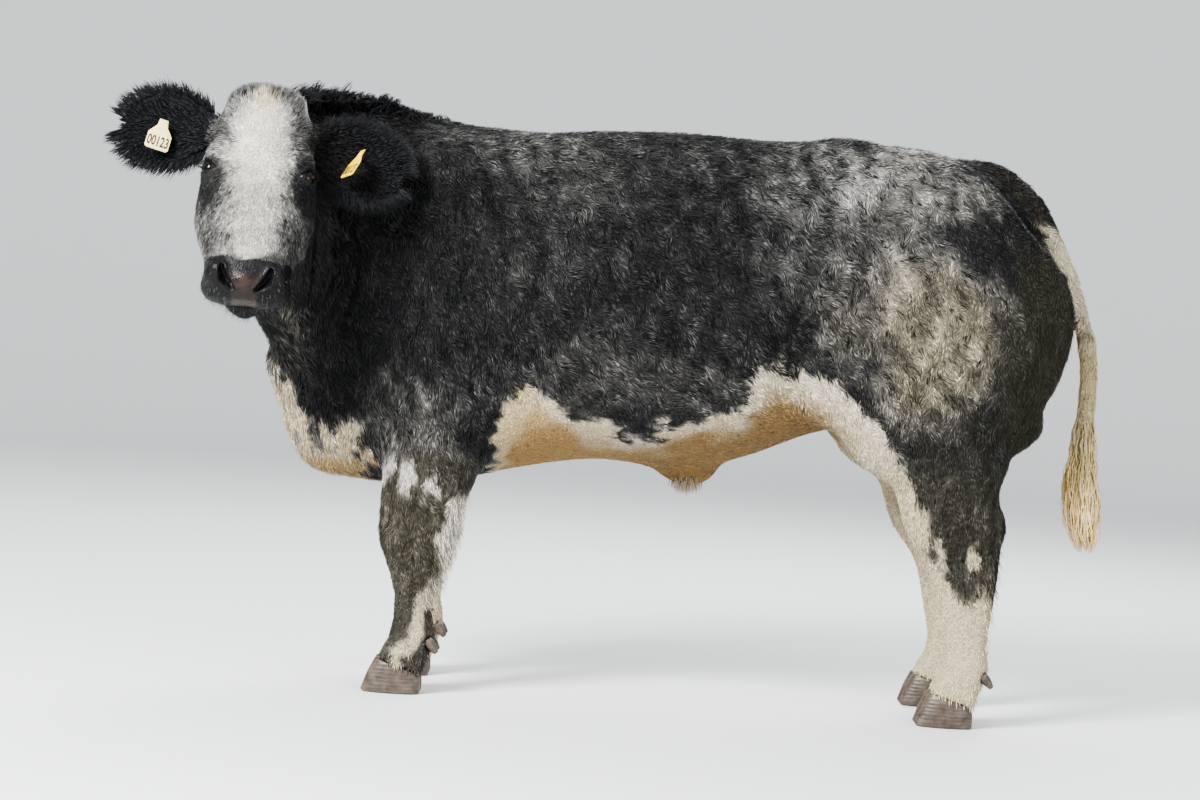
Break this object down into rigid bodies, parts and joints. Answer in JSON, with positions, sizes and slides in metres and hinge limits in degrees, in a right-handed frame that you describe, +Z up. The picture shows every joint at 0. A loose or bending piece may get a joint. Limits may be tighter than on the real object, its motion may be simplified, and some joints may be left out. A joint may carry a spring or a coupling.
{
  "type": "belgian blue cattle",
  "caption": "Life-size standing model of a young double-muscled steer with a dark roan winter coat, its head turned to its left and tags in its ears.",
  "frame": {"origin": "the middle of the bounding box's bottom, on the floor under the trunk", "axes": "+X towards the tail, so the animal looks along -X with its body; +Y towards its right side, and its head is turned towards -Y; +Z up from the soles"},
  "size_m": [2.18, 0.8696, 1.2928],
  "materials": {
    "coat": "short wavy hair",
    "horn": "dull horn",
    "eye": "wet",
    "tag_plastic": "satin"
  },
  "bodies": {
    "root": {"dewclaw_fore_left_inner": "horn", "dewclaw_fore_left_outer": "horn", "dewclaw_fore_right_inner": "horn", "dewclaw_fore_right_outer": "horn", "dewclaw_hind_left_inner": "horn", "dewclaw_hind_left_outer": "horn", "dewclaw_hind_right_inner": "horn", "dewclaw_hind_right_outer": "horn", "ear_left": "coat", "ear_right": "coat", "eye_left": "eye", "eye_right": "eye", "foreleg_left": "coat", "foreleg_right": "coat", "head": "coat", "hindleg_left": "coat", "hindleg_right": "coat", "hoof_fore_left_inner": "horn", "hoof_fore_left_outer": "horn", "hoof_fore_right_inner": "horn", "hoof_fore_right_outer": "horn", "hoof_hind_left_inner": "horn", "hoof_hind_left_outer": "horn", "hoof_hind_right_inner": "horn", "hoof_hind_right_outer": "horn", "neck": "coat", "tag_left": "tag_plastic", "tag_right": "tag_plastic", "tail": "coat", "tail_switch": "coat", "torso": "coat"}
  },
  "joints": []
}
